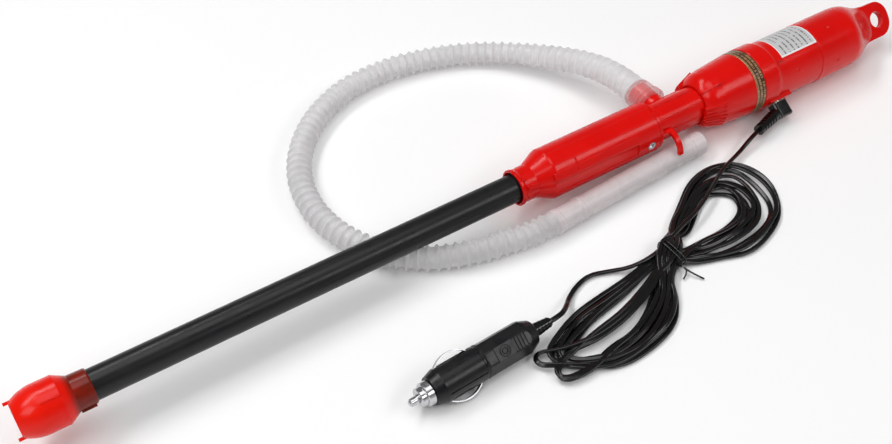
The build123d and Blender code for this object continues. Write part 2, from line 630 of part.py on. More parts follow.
def lighter_shell():
    """Both halves of the lighter plug's body as one: walls, contact slots, flats and grip lines."""
    turn([
        (10.4, FUSE_BORE_R), (10.4, 6.2), (BODY_FROM, 6.2), (BODY_FROM, 8.6), (20, LIGHTER_R),
        (46.2, LIGHTER_R), (46.8, 9.8), (47.8, 9.8), (48.4, LIGHTER_R), (77.5, LIGHTER_R),
        (BODY_TO - 0.6, 7.6), (BODY_TO, 7.0), (BODY_TO, 3.9), (83, 3.9), (83, 6.6), (81, 6.6), (79, 7.6),
        (56, 7.6), (54, 1.4), (SPRING_TO, 1.4), (SPRING_TO, FUSE_BORE_R),
    ])
    for angle in CONTACT_ANGLES:
        bar(angle, 20.5, 44.5, 6.6, 12, 4.4, mode=Mode.SUBTRACT)
    for flat in range(8):
        bar(FACE_ANGLE + 45 * flat, 49, 86, 9.9, 12, 14, mode=Mode.SUBTRACT)
    for angle in (FACE_ANGLE - 34, FACE_ANGLE + 146):
        bar(angle, 21, 46.4, 9.7, 12, 0.9, mode=Mode.SUBTRACT)
    for line in range(4):
        start = 68 + 2.2 * line
        bar(FACE_ANGLE, start, start + 1, 9.3, 11, 8.4, mode=Mode.SUBTRACT)


facing = math.radians(FACE_ANGLE)
parting = Plane(origin=(0, 0, 0), x_dir=(1, 0, 0), z_dir=(0, -math.cos(facing), math.sin(facing)))
with BuildPart() as lighter_shell_upper:
    lighter_shell()
    split(bisect_by=parting, keep=Keep.TOP)
    bar(FACE_ANGLE, 54.5, 66.5, 9.3, 10.3, 8.6)
    with BuildSketch(side(FACE_ANGLE, 60.5, 9.9)) as dial:
        Circle(3.5)
        Circle(2.9, mode=Mode.SUBTRACT)
        Circle(1.9)
        Circle(1.5, mode=Mode.SUBTRACT)
    extrude(dial.sketch, amount=1, mode=Mode.SUBTRACT)
write(lighter_shell_upper, "lighter_shell_upper", LIGHTER)

with BuildPart() as lighter_shell_lower:
    lighter_shell()
    split(bisect_by=parting, keep=Keep.BOTTOM)
write(lighter_shell_lower, "lighter_shell_lower", LIGHTER)

with BuildPart() as lighter_nose_nut:
    turn([
        (6.0, 2.75), (6.0, 5.4), (6.4, 5.8), (9.2, 5.8), (9.4, 6.8), (9.9, 7.25), (13.6, 7.25),
        (BODY_FROM - 0.1, 6.9), (BODY_FROM - 0.1, 6.25), (10.3, 6.25), (10.3, 3.9), (7.3, 3.9),
        (7.3, 2.75),
    ])
write(lighter_nose_nut, "lighter_nose_nut", LIGHTER)

with BuildPart() as lighter_tip:
    turn([
        (0, 0), (0, 1.4), (0.9, 2.4), (7.4, 2.4), (7.4, 3.5), (FUSE_FROM, 3.5), (FUSE_FROM, 0),
    ])
write(lighter_tip, "lighter_tip", LIGHTER)

GLASS_R = 2.9
with BuildPart() as fuse_caps:
    turn([
        (FUSE_FROM, 0), (FUSE_FROM, FUSE_R), (15, FUSE_R), (15, GLASS_R), (10, GLASS_R), (10, 0),
    ])
    turn([
        (38, 0), (38, GLASS_R), (33, GLASS_R), (33, FUSE_R), (FUSE_TO, FUSE_R), (FUSE_TO, 0),
    ])
write(fuse_caps, "fuse_caps", LIGHTER)

with BuildPart() as fuse_glass:
    turn([(10, 2.3), (10, GLASS_R), (38, GLASS_R), (38, 2.3)])
write(fuse_glass, "fuse_glass", LIGHTER)

SPRING_R = 2.5
SPRING_WIRE_R = 0.35
with BuildPart() as tip_spring:
    with BuildLine() as coil:
        Helix(
            pitch=(SPRING_TO - FUSE_TO - 1) / 6, height=SPRING_TO - FUSE_TO - 1, radius=SPRING_R,
            center=(FUSE_TO + 0.5, 0, 0), direction=(1, 0, 0),
        )
    with BuildSketch(Plane(origin=coil.line @ 0, z_dir=coil.line % 0)) as wire_section:
        Circle(SPRING_WIRE_R)
    sweep(wire_section.sketch, path=coil.line, is_frenet=True)
write(tip_spring, "tip_spring", LIGHTER)

for name, angle in zip(("side_contact_lower", "side_contact_upper"), CONTACT_ANGLES):
    outward = side(angle, 0, 0).z_dir
    edge_on = Plane(origin=(0, 0, 0), x_dir=(1, 0, 0), z_dir=Vector(1, 0, 0).cross(outward))
    with BuildPart() as side_contact:
        with BuildSketch(edge_on) as bowed:
            with BuildLine():
                ThreePointArc((21.2, 9.9), (32.5, 14.5), (43.8, 9.9))
                Line((43.8, 9.9), (43.8, 9.0))
                ThreePointArc((43.8, 9.0), (32.5, 13.6), (21.2, 9.0))
                Line((21.2, 9.0), (21.2, 9.9))
            make_face()
        extrude(bowed.sketch, amount=1.8, both=True)
    write(side_contact, name, LIGHTER)

with BuildPart() as lighter_boot:
    turn([(81.2, 0), (81.2, 6.4), (82.8, 6.4), (82.8, 3.85), (86, 3.85), (LIGHTER_LENGTH, 2.6),
          (LIGHTER_LENGTH, 0)])
    for rib in range(5):
        at = BODY_TO + 0.6 + 2.5 * rib
        turn([(at, 0), (at, 4.3 - 0.27 * rib), (at + 1.4, 4.3 - 0.27 * rib), (at + 1.4, 0)])
write(lighter_boot, "lighter_boot", LIGHTER)

LEAD_B_ROUTE = on_floor([
    (348.5, -78.4, 2.0), (339, -70.5, 1.8), (327, -66.8, 1.8), (315, -69.5, 1.9), (305, -75.2, 2.6),
    (297.5, -82.2, 7.0),
]) + [(LIGHTER * Location((LIGHTER_LENGTH + beyond, 0, 0))).position for beyond in (8.5, 0)]
lead_b = tube_along(LEAD_B_ROUTE, LEAD_R, "cable_lead_b")
write(lead_b, "cable_lead_b")
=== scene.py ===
import json
import math
import random

import bpy
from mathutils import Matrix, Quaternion, Vector


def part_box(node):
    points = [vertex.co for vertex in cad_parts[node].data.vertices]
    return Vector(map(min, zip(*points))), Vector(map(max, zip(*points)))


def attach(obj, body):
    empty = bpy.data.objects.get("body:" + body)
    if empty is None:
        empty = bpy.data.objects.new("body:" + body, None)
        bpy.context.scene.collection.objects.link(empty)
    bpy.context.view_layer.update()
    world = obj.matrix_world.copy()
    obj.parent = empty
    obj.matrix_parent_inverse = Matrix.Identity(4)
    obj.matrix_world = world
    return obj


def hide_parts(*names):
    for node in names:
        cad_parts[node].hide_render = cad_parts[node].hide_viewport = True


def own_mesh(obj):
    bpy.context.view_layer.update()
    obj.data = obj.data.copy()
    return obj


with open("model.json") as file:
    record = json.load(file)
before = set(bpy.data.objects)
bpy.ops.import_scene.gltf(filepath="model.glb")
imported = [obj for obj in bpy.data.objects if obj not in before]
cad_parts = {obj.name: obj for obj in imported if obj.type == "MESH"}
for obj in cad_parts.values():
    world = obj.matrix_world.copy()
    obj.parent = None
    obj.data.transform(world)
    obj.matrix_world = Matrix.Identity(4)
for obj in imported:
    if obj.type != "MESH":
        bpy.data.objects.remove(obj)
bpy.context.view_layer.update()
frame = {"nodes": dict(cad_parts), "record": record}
nodes = frame["nodes"]
scene = bpy.context.scene
UP = Vector((0, 0, 1))
BODY = "pump"

# ---------------------------------------------------------------- camera
CAMERA_AT = (-0.3264, -0.4147, 0.555)
CAMERA_DOWN = 47.0
CAMERA_AZIMUTH = -33.15
CAMERA_LENS = 48.43

camera_data = bpy.data.cameras.new("camera")
camera_data.lens = CAMERA_LENS
camera_data.sensor_width = 36
camera_data.clip_end = 50
camera = bpy.data.objects.new("camera", camera_data)
camera.location = CAMERA_AT
camera.rotation_euler = (math.radians(90 - CAMERA_DOWN), 0, math.radians(CAMERA_AZIMUTH))
scene.collection.objects.link(camera)
scene.camera = camera
scene.view_settings.view_transform = "Standard"


# ---------------------------------------------------------------- route points, as in the CAD, in metres
HOSE_ROUTE = [
    (0.1175, 0.0310, 0.0237), (0.1175, 0.0490, 0.0237), (0.1105, 0.0760, 0.0205), (0.0915, 0.1090, 0.0135),
    (0.0635, 0.1385, 0.0085), (0.0275, 0.1535, 0.0085), (-0.0115, 0.1595, 0.0085), (-0.0515, 0.1525, 0.0085),
    (-0.0860, 0.1285, 0.0085), (-0.1080, 0.0950, 0.0085), (-0.1135, 0.0570, 0.0085),
    (-0.1030, 0.0220, 0.0085), (-0.0795, -0.0050, 0.0085), (-0.0495, -0.0185, 0.0085),
    (-0.0245, -0.0230, 0.0085), (-0.0085, -0.0262, 0.0085), (0.0075, -0.0254, 0.0085),
]
LEAD_FROM_PUMP = [
    (0.1744, -0.0320, 0.0080), (0.1652, -0.0345, 0.0080), (0.1550, -0.0372, 0.0046),
    (0.1445, -0.0408, 0.0052), (0.1300, -0.0457, 0.0072), (0.1140, -0.0540, 0.0076),
    (0.0960, -0.0635, 0.0078), (0.0790, -0.0690, 0.0080),
]
LEAD_TO_PLUG = [
    (0.0280, -0.0775, 0.0040), (0.0165, -0.0712, 0.0017), (0.0045, -0.0668, 0.0016),
    (-0.0075, -0.0695, 0.0017), (-0.0175, -0.0752, 0.0026), (-0.0250, -0.0822, 0.0070),
    (-0.0331, -0.0876, 0.0105), (-0.0416, -0.0879, 0.0105),
]
# Each side of the hank, as (outermost, innermost) places of a turn, on the floor.
LOWER_LOBE = [
    ((0.0335, -0.0790), (0.0300, -0.0885)), ((0.0155, -0.0822), (0.0120, -0.0930)),
    ((-0.0007, -0.0838), (-0.0045, -0.0975)), ((-0.0225, -0.0845), (-0.0195, -0.1020)),
    ((-0.0424, -0.0935), (-0.0315, -0.1060)), ((-0.0560, -0.1010), (-0.0385, -0.1090)),
    ((-0.0525, -0.1130), (-0.0385, -0.1125)), ((-0.0406, -0.1235), (-0.0325, -0.1150)),
    ((-0.0235, -0.1310), (-0.0190, -0.1175)), ((0.0000, -0.1312), (-0.0025, -0.1160)),
    ((0.0220, -0.1240), (0.0130, -0.1085)), ((0.0350, -0.1125), (0.0262, -0.1005)),
    ((0.0415, -0.1010), (0.0345, -0.0930)),
]
# The middle of the lower lobe, crossed slantwise, with two hairpins that stand out at its tip.
SLANT = [(0.0360, -0.0915), (0.0226, -0.0975), (0.0000, -0.1050), (-0.0235, -0.1080)]
HAIRPINS = [
    [(-0.0440, -0.1040), (-0.0560, -0.0985), (-0.0615, -0.1005), (-0.0615, -0.1065), (-0.0540, -0.1110),
     (-0.0400, -0.1200)],
    [(-0.0400, -0.1085), (-0.0500, -0.1110), (-0.0560, -0.1145), (-0.0570, -0.1200), (-0.0515, -0.1235),
     (-0.0370, -0.1240)],
]
UPPER_LOBE = [
    ((0.0680, -0.0955), (0.0710, -0.0835)), ((0.0820, -0.1000), (0.0815, -0.0830)),
    ((0.0985, -0.1035), (0.0940, -0.0825)), ((0.1239, -0.0975), (0.1095, -0.0818)),
    ((0.1390, -0.0865), (0.1190, -0.0750)), ((0.1465, -0.0660), (0.1205, -0.0640)),
    ((0.1430, -0.0460), (0.1165, -0.0575)), ((0.1267, -0.0380), (0.1075, -0.0555)),
    ((0.1053, -0.0430), (0.0960, -0.0610)), ((0.0865, -0.0545), (0.0840, -0.0690)),
    ((0.0700, -0.0640), (0.0740, -0.0750)),
]


# ---------------------------------------------------------------- small helpers
def lerp(a, b, t):
    return a + (b - a) * t


def smooth_line(name, points):
    """Places along the smooth line that has these control points, read from Blender's own NURBS."""
    curve = bpy.data.curves.new(name, "CURVE")
    curve.dimensions = "3D"
    curve.resolution_u = 8
    spline = curve.splines.new("NURBS")
    spline.points.add(len(points) - 1)
    for control, place in zip(spline.points, points):
        control.co = (*place, 1)
    spline.order_u = 3
    spline.use_endpoint_u = True
    holder = bpy.data.objects.new(name, curve)
    scene.collection.objects.link(holder)
    bpy.context.view_layer.update()
    line = bpy.data.meshes.new_from_object(holder.evaluated_get(bpy.context.evaluated_depsgraph_get()))
    places = [v.co.copy() for v in line.vertices]
    bpy.data.objects.remove(holder)
    bpy.data.meshes.remove(line)
    return places


def evenly(places, step):
    """The same line in equal steps of about this length."""
    lengths = [0.0]
    for a, b in zip(places, places[1:]):
        lengths.append(lengths[-1] + (b - a).length)
    count = max(2, round(lengths[-1] / step))
    result, i = [], 0
    for k in range(count + 1):
        target = lengths[-1] * k / count
        while i < len(places) - 2 and lengths[i + 1] < target:
            i += 1
        span = lengths[i + 1] - lengths[i]
        result.append(places[i].lerp(places[i + 1], (target - lengths[i]) / span if span else 0))
    return result


def add_mesh(name, vertices, faces, material):
    """A smooth-shaded mesh that rides on the pump's body."""
    mesh = bpy.data.meshes.new(name)
    mesh.from_pydata([tuple(v) for v in vertices], [], faces)
    mesh.validate()
    mesh.shade_smooth()
    mesh.materials.append(material)
    piece = bpy.data.objects.new(name, mesh)
    scene.collection.objects.link(piece)
    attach(piece, BODY)
    return piece


def sweep(name, places, ring, material, twist=None, ends=True):
    """A tube along places. ring(i) gives the section's points, as (across, up), at place i."""
    vertices, faces = [], []
    count = 0
    for i, place in enumerate(places):
        ahead = places[min(i + 1, len(places) - 1)] - places[max(i - 1, 0)]
        ahead.normalize()
        across = ahead.cross(UP).normalized()
        above = across.cross(ahead)
        if twist:
            turned = Quaternion(ahead, twist(i))
            across, above = turned @ across, turned @ above
        section = ring(i)
        count = len(section)
        vertices += [place + across * x + above * z for x, z in section]
    for i in range(len(places) - 1):
        for k in range(count):
            j = (k + 1) % count
            faces.append((i * count + k, i * count + j, (i + 1) * count + j, (i + 1) * count + k))
    if ends:
        faces.append(tuple(reversed(range(count))))
        last = (len(places) - 1) * count
        faces.append(tuple(range(last, last + count)))
    return add_mesh(name, vertices, faces, material)


def circle(radius, count):
    turn = math.tau / count
    return [(radius * math.cos(k * turn), radius * math.sin(k * turn)) for k in range(count)]


# ---------------------------------------------------------------- materials
NOISE_LOW, NOISE_HIGH = 0.3, 0.7       # nearly all of a noise pattern lies between these
GRAIN_DEPTH = 0.00003


def start_material(name):
    material = bpy.data.materials.new(name)
    material.use_nodes = True
    tree = material.node_tree
    shader = tree.nodes["Principled BSDF"]
    place = tree.nodes.new("ShaderNodeTexCoord").outputs["Object"]
    return material, tree, shader, place


def noise(tree, place, scale, detail=3.0, stretch=None):
    """A noise pattern, with its size in repeats per metre."""
    if stretch:
        mapping = tree.nodes.new("ShaderNodeMapping")
        mapping.inputs["Scale"].default_value = stretch
        tree.links.new(place, mapping.inputs["Vector"])
        place = mapping.outputs["Vector"]
    node = tree.nodes.new("ShaderNodeTexNoise")
    node.inputs["Scale"].default_value = scale
    node.inputs["Detail"].default_value = detail
    tree.links.new(place, node.inputs["Vector"])
    return node.outputs["Fac"]


def between(tree, value, low, high):
    """Spread a pattern from low to high."""
    node = tree.nodes.new("ShaderNodeMapRange")
    node.inputs["From Min"].default_value = NOISE_LOW
    node.inputs["From Max"].default_value = NOISE_HIGH
    node.inputs["To Min"].default_value = low
    node.inputs["To Max"].default_value = high
    tree.links.new(value, node.inputs["Value"])
    return node.outputs["Result"]


def two_colours(tree, value, first, second):
    node = tree.nodes.new("ShaderNodeMix")
    node.data_type = "RGBA"
    node.inputs[6].default_value = (*first, 1)
    node.inputs[7].default_value = (*second, 1)
    tree.links.new(value, node.inputs[0])
    return node.outputs[2]


def bump(tree, shader, pattern, strength, distance, edge=0.0):
    """Surface grain, over edges that are rounded by the radius edge."""
    node = tree.nodes.new("ShaderNodeBump")
    node.inputs["Strength"].default_value = strength
    node.inputs["Distance"].default_value = distance
    tree.links.new(pattern, node.inputs["Height"])
    if edge:
        rounded = tree.nodes.new("ShaderNodeBevel")
        rounded.samples = 4
        rounded.inputs["Radius"].default_value = edge
        tree.links.new(rounded.outputs["Normal"], node.inputs["Normal"])
    tree.links.new(node.outputs["Normal"], shader.inputs["Normal"])


def plastic(name, dark, light, rough, grain=900.0, strength=0.25, edge=0.0, shine=0.4):
    """Moulded plastic: slight colour drift, uneven gloss, fine grain and rounded edges."""
    material, tree, shader, place = start_material(name)
    drift = noise(tree, place, 22.0)
    tint = two_colours(tree, between(tree, drift, 0.0, 1.0), dark, light)
    tree.links.new(tint, shader.inputs["Base Color"])
    wear = noise(tree, place, 140.0, detail=5.0)
    tree.links.new(between(tree, wear, *rough), shader.inputs["Roughness"])
    shader.inputs["Specular IOR Level"].default_value = shine
    bump(tree, shader, noise(tree, place, grain, detail=2.0), strength, GRAIN_DEPTH, edge)
    return material


def metal(name, colour, rough, brushed=None):
    """Bare metal, darker and duller in places."""
    material, tree, shader, place = start_material(name)
    shader.inputs["Metallic"].default_value = 1.0
    marks = noise(tree, place, 260.0, detail=6.0, stretch=brushed)
    darker = tuple(c * 0.82 for c in colour)
    tint = two_colours(tree, between(tree, marks, 0.0, 1.0), darker, colour)
    tree.links.new(tint, shader.inputs["Base Color"])
    tree.links.new(between(tree, marks, *rough), shader.inputs["Roughness"])
    bump(tree, shader, marks, strength=0.12, distance=0.00002, edge=0.00015)
    return material


def clear_plastic(name, colour, alpha, rough):
    """Cloudy see-through plastic, denser where it is seen edge on."""
    material, tree, shader, place = start_material(name)
    haze = noise(tree, place, 60.0, detail=4.0)
    lighter = tuple(min(1.0, c * 1.08) for c in colour)
    tint = two_colours(tree, between(tree, haze, 0.0, 1.0), colour, lighter)
    tree.links.new(tint, shader.inputs["Base Color"])
    tree.links.new(between(tree, haze, *rough), shader.inputs["Roughness"])
    facing = tree.nodes.new("ShaderNodeLayerWeight")
    facing.inputs["Blend"].default_value = 0.35
    dense = tree.nodes.new("ShaderNodeMapRange")
    dense.inputs["To Min"].default_value = alpha[0]
    dense.inputs["To Max"].default_value = alpha[1]
    tree.links.new(facing.outputs["Facing"], dense.inputs["Value"])
    tree.links.new(dense.outputs["Result"], shader.inputs["Alpha"])
    shader.inputs["IOR"].default_value = 1.46
    bump(tree, shader, noise(tree, place, 300.0, detail=3.0), strength=0.2, distance=0.00006)
    return material


BORDER = 0.0011                        # blank margin round the label
BORDER_COLOUR = (0.82, 0.82, 0.82, 1)
ROW_SHIFT = 7.3                        # makes the dashes of each row fall differently
DASH_ABOVE = 0.47                      # the part of the noise that becomes a dash
band_low, band_high = (Vector(p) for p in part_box("sealing_band"))
axis_height = (band_low.z + band_high.z) / 2
label_low, label_high = (Vector(p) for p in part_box("data_label"))


def printed(name, ground, ink, rows, columns, first_row, row_share, rough, metallic=0.0, border=None):
    """A foil with rows of printed dashes that run round the barrel, and spell nothing.

    rows counts them per metre, and columns is the size of the noise round the barrel, per radian.
    """
    material, tree, shader, place = start_material(name)
    split = tree.nodes.new("ShaderNodeSeparateXYZ")
    tree.links.new(place, split.inputs["Vector"])

    def maths(operation, a, b=None):
        node = tree.nodes.new("ShaderNodeMath")
        node.operation = operation
        for socket, value in zip(node.inputs, (a, b)):
            if isinstance(value, (int, float)):
                socket.default_value = value
            elif value is not None:
                tree.links.new(value, socket)
        return node.outputs["Value"]

    height = maths("SUBTRACT", split.outputs["Z"], axis_height)
    angle = maths("ARCTAN2", height, split.outputs["Y"])
    row = maths("MULTIPLY", maths("SUBTRACT", split.outputs["X"], first_row), rows)
    in_row = maths("LESS_THAN", maths("FRACT", row), row_share)
    word_place = tree.nodes.new("ShaderNodeCombineXYZ")
    tree.links.new(maths("MULTIPLY", angle, columns), word_place.inputs["X"])
    tree.links.new(maths("MULTIPLY", maths("FLOOR", row), ROW_SHIFT), word_place.inputs["Y"])
    words = tree.nodes.new("ShaderNodeTexNoise")
    words.inputs["Scale"].default_value = 1.0
    words.inputs["Detail"].default_value = 1.0
    tree.links.new(word_place.outputs["Vector"], words.inputs["Vector"])
    dash = maths("GREATER_THAN", words.outputs["Fac"], DASH_ABOVE)
    mask = maths("MULTIPLY", in_row, dash)
    colour = two_colours(tree, mask, ground, ink)
    if border:
        low, high = border
        from_middle = maths("ABSOLUTE", maths("SUBTRACT", split.outputs["X"], (low.x + high.x) / 2))
        inside = maths("LESS_THAN", from_middle, (high.x - low.x) / 2 - BORDER)
        inside = maths("MULTIPLY", inside, maths("GREATER_THAN", split.outputs["Y"], low.y + BORDER))
        mix = tree.nodes.new("ShaderNodeMix")
        mix.data_type = "RGBA"
        mix.inputs[6].default_value = BORDER_COLOUR
        tree.links.new(colour, mix.inputs[7])
        tree.links.new(inside, mix.inputs[0])
        colour = mix.outputs[2]
    tree.links.new(colour, shader.inputs["Base Color"])
    tree.links.new(between(tree, noise(tree, place, 90.0), *rough), shader.inputs["Roughness"])
    shader.inputs["Metallic"].default_value = metallic
    bump(tree, shader, noise(tree, place, 500.0), strength=0.1, distance=0.00003)
    return material


COLLAR_FROM, COLLAR_TO = -0.2960, -0.2905  # where the black tube starts to show through the inlet cap
COLLAR_COLOUR = (0.100, 0.009, 0.002, 1)


def show_through(material):
    """Darken the cap's colour, in blotches, where it fits over the tube."""
    tree = material.node_tree
    shader = tree.nodes["Principled BSDF"]
    place = tree.nodes.new("ShaderNodeTexCoord").outputs["Object"]
    split = tree.nodes.new("ShaderNodeSeparateXYZ")
    tree.links.new(place, split.inputs["Vector"])
    along = tree.nodes.new("ShaderNodeMapRange")
    along.interpolation_type = "SMOOTHSTEP"
    along.inputs["From Min"].default_value = COLLAR_FROM
    along.inputs["From Max"].default_value = COLLAR_TO
    tree.links.new(split.outputs["X"], along.inputs["Value"])
    blotches = tree.nodes.new("ShaderNodeMath")
    blotches.operation = "MULTIPLY"
    tree.links.new(along.outputs["Result"], blotches.inputs[0])
    tree.links.new(between(tree, noise(tree, place, 110.0, detail=3.0), 0.82, 1.0), blotches.inputs[1])
    mix = tree.nodes.new("ShaderNodeMix")
    mix.data_type = "RGBA"
    mix.inputs[7].default_value = COLLAR_COLOUR
    tree.links.new(shader.inputs["Base Color"].links[0].from_socket, mix.inputs[6])
    tree.links.new(blotches.outputs["Value"], mix.inputs[0])
    tree.links.new(mix.outputs[2], shader.inputs["Base Color"])


RED = plastic("red_plastic", (0.62, 0.002, 0.001), (0.72, 0.004, 0.002), (0.15, 0.25), grain=700.0,
              strength=0.12, edge=0.0005, shine=0.24)
INLET_RED = plastic("inlet_red", (0.74, 0.006, 0.001), (0.86, 0.012, 0.002), (0.16, 0.28), grain=700.0,
                    strength=0.12, edge=0.0004, shine=0.24)
show_through(INLET_RED)
BLACK_TUBE = plastic("black_tube", (0.006, 0.006, 0.007), (0.010, 0.010, 0.011), (0.26, 0.38), edge=0.0003,
                     shine=0.30)
BLACK = plastic("black_plastic", (0.004, 0.004, 0.005), (0.008, 0.008, 0.009), (0.22, 0.38), grain=1500.0,
                strength=0.35, edge=0.0004, shine=0.35)
CABLE = plastic("black_pvc", (0.0025, 0.0025, 0.0026), (0.005, 0.005, 0.005), (0.10, 0.20), grain=500.0,
                strength=0.08, shine=0.55)
NYLON = plastic("white_nylon", (0.66, 0.65, 0.61), (0.74, 0.73, 0.69), (0.40, 0.55), edge=0.0002)
MOTOR_PLASTIC = plastic("motor_plastic", (0.09, 0.09, 0.10), (0.13, 0.13, 0.14), (0.40, 0.55))
SEAL = plastic("seal_rubber", (0.012, 0.012, 0.012), (0.025, 0.025, 0.025), (0.55, 0.75))
CARBON = plastic("carbon", (0.020, 0.020, 0.020), (0.045, 0.045, 0.045), (0.45, 0.65))
FERRITE = plastic("ferrite", (0.050, 0.050, 0.055), (0.085, 0.085, 0.090), (0.50, 0.70))
CHROME = metal("chrome", (0.62, 0.62, 0.64), (0.12, 0.26))
STEEL = metal("steel", (0.58, 0.59, 0.60), (0.22, 0.40), brushed=(1, 8, 8))
MOTOR_STEEL = metal("motor_steel", (0.52, 0.52, 0.54), (0.30, 0.45), brushed=(1, 6, 6))
BRONZE = metal("bronze", (0.55, 0.38, 0.20), (0.35, 0.50))
SPRING_METAL = metal("spring_metal", (0.42, 0.42, 0.43), (0.22, 0.36))
PLUG_METAL = metal("plug_metal", (0.75, 0.72, 0.62), (0.14, 0.28))
CLEAR = clear_plastic("clear_hose", (0.68, 0.67, 0.68), (0.50, 0.95), (0.22, 0.36))
# The nozzle's pink tint is a painted reflection of the red pump body; its pale grey is the clear plastic's
# own colour.
CLEAR_NOZZLE_PAINTED_PINK = clear_plastic("clear_nozzle_painted_pink", (0.76, 0.70, 0.71), (0.60, 0.95), (0.20, 0.34))
CLEAR_CUFF = clear_plastic("clear_cuff", (0.74, 0.36, 0.36), (0.22, 0.80), (0.18, 0.30))
GLASS = clear_plastic("glass", (0.90, 0.92, 0.92), (0.12, 0.50), (0.03, 0.08))
BAND = printed("band_print", (0.050, 0.016, 0.006), (0.420, 0.250, 0.110), rows=360.0, columns=46.0,
               first_row=band_low.x + 0.0004, row_share=0.6, rough=(0.28, 0.42), metallic=0.2)
LABEL = printed("label_silver", (0.60, 0.60, 0.60), (0.16, 0.16, 0.17), rows=250.0, columns=22.0,
                first_row=label_low.x, row_share=0.30, rough=(0.30, 0.45), metallic=0.1,
                border=(label_low, label_high))

FINISHES = {
    "red_plastic": RED, "black_tube": BLACK_TUBE, "white_nylon": NYLON, "bronze": BRONZE, "steel": STEEL,
    "chrome": CHROME, "seal_rubber": SEAL, "motor_steel": MOTOR_STEEL, "motor_plastic": MOTOR_PLASTIC,
    "ferrite": FERRITE, "carbon": CARBON, "band_print": BAND, "label_silver": LABEL, "clear_hose": CLEAR,
    "black_plastic": BLACK, "black_pvc": CABLE, "plug_metal": PLUG_METAL, "glass": GLASS,
}
# Nodes that look different from the others with their material slot.
SPECIAL = {
    "hose_cuff": CLEAR_CUFF, "hose_nozzle": CLEAR_NOZZLE_PAINTED_PINK, "inlet_cap": INLET_RED,
    "side_contact_lower": SPRING_METAL, "side_contact_upper": SPRING_METAL,
}
for part in frame["record"]["subparts"]:
    mesh = nodes[part["node"]].data
    finish = SPECIAL.get(part["node"], FINISHES[part["material_slot"]])
    if mesh.materials:
        for number in range(len(mesh.materials)):
            mesh.materials[number] = finish
    else:
        mesh.materials.append(finish)

# ---------------------------------------------------------------- spring behind the lighter plug's tip
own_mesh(nodes["tip_spring"])

# ---------------------------------------------------------------- hose
HOSE_CREST = 0.0084
HOSE_ROOT = 0.0067
HOSE_PITCH = 0.0060
RIDGE_POWER = 3                        # narrows the ridges and widens the grooves between them
STEPS_PER_RING = 12
HOSE_SIDES = 36
FADE_FROM, FADE_TO = 0.020, 0.105      # along the hose from the cuff, where the rings grow to full height
LEAST_GROWN = 0.12
FAINT_RING = 0.0002
CUFF_FLARE, FLARE_LENGTH = 0.0011, 0.10    # the hose is a little wider near the cuff
END_RADIUS, END_LENGTH = 0.0079, 0.004     # and smooth where the nozzle starts

hose_line = evenly(smooth_line("hose_route", HOSE_ROUTE), HOSE_PITCH / STEPS_PER_RING)
hose_step = (hose_line[1] - hose_line[0]).length


def hose_ring(i):
    along = i * hose_step
    left = (len(hose_line) - 1 - i) * hose_step
    grown = min(1.0, max(LEAST_GROWN, (along - FADE_FROM) / (FADE_TO - FADE_FROM)))
    ending = min(1.0, left / END_LENGTH)
    ridge = (0.5 + 0.5 * math.cos(math.tau * left / HOSE_PITCH)) ** RIDGE_POWER
    wide = CUFF_FLARE * max(0.0, 1 - along / FLARE_LENGTH)
    smooth = lerp(HOSE_CREST - FAINT_RING, HOSE_ROOT, grown)
    radius = lerp(END_RADIUS, smooth + wide + (HOSE_CREST - smooth) * ridge * ending, ending)
    return circle(radius, HOSE_SIDES)


hose = sweep("corrugated_hose", hose_line, hose_ring, CLEAR, ends=False)
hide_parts("hose")

# ---------------------------------------------------------------- lead and its hank
TURNS = 9
CORE_R = 0.00100
CORE_APART = 0.00062                   # each core's middle from the middle of the twin lead
FLOOR_LAYER = 0.0015
LAYER = 0.0021
STEP = 0.0018                          # along the lead
PLACE_JITTER, HEIGHT_JITTER = 0.0004, 0.0003
# A turn's slow wandering among its neighbours, as a share of the lobe's width.
WANDER, WANDER_RATE, WANDER_START = 0.06, 2.1, 1.7
CROSSING_RISE, DESCENT = 0.003, 4      # a crossing turn comes down from the tie over so many pairs
rng = random.Random(7)

# Each turn's place in the two lobes, counted from the outermost. Most turns cross over at the tie, as in
# the figure 8; the others lie slantwise over the lower lobe.
UPPER_PLACES = (2, 0, 5, 3, 7, 1, 6, 4, 8)
LOWER_PLACES = (5, 8, 2, 4, 0, 6, 3, 7, 1)
CROSSING = (True, False, True, True, False, True, True, False, True)
# How far in a turn lies, by its place: tight in the lower lobe, with some loose outer turns in the upper.
TIGHT = (0.0, 0.12, 0.24, 0.36, 0.48, 0.60, 0.72, 0.85, 0.98)
LOOSE = (-0.20, -0.06, 0.10, 0.42, 0.52, 0.62, 0.72, 0.83, 0.95)
# Through the tie: the middle of each bundle and the direction across it.
OVER = [(0.0610, -0.0765, 0.0052), (0.0550, -0.0812, 0.0060), (0.0480, -0.0868, 0.0054)]
OVER_ACROSS = (0.66, -0.75)
UNDER = [(0.0420, -0.0800, 0.0015), (0.0540, -0.0840, 0.0015), (0.0625, -0.0870, 0.0015)]
UNDER_ACROSS = (0.25, 0.97)
SIDE_BY_SIDE = 0.0029
# A turn that lies slantwise: its distance from the next one, its heights, and its way back to the tie.
SLANT_APART, SLANT_LEAN = 0.0009, 0.3
SLANT_HEIGHT, HAIRPIN_HEIGHT = 0.0058, 0.0042
REJOINS = 8                            # the pair of the lower lobe where it joins the other turns again
BACK_TO_TIE = [(0.0430, -0.0965, 0.0040), (0.0540, -0.0895, 0.0042)]
OUT_OF_TIE = [(0.0610, -0.0730, 0.0062), (0.0545, -0.0765, 0.0070), (0.0430, -0.0790, 0.0064)]


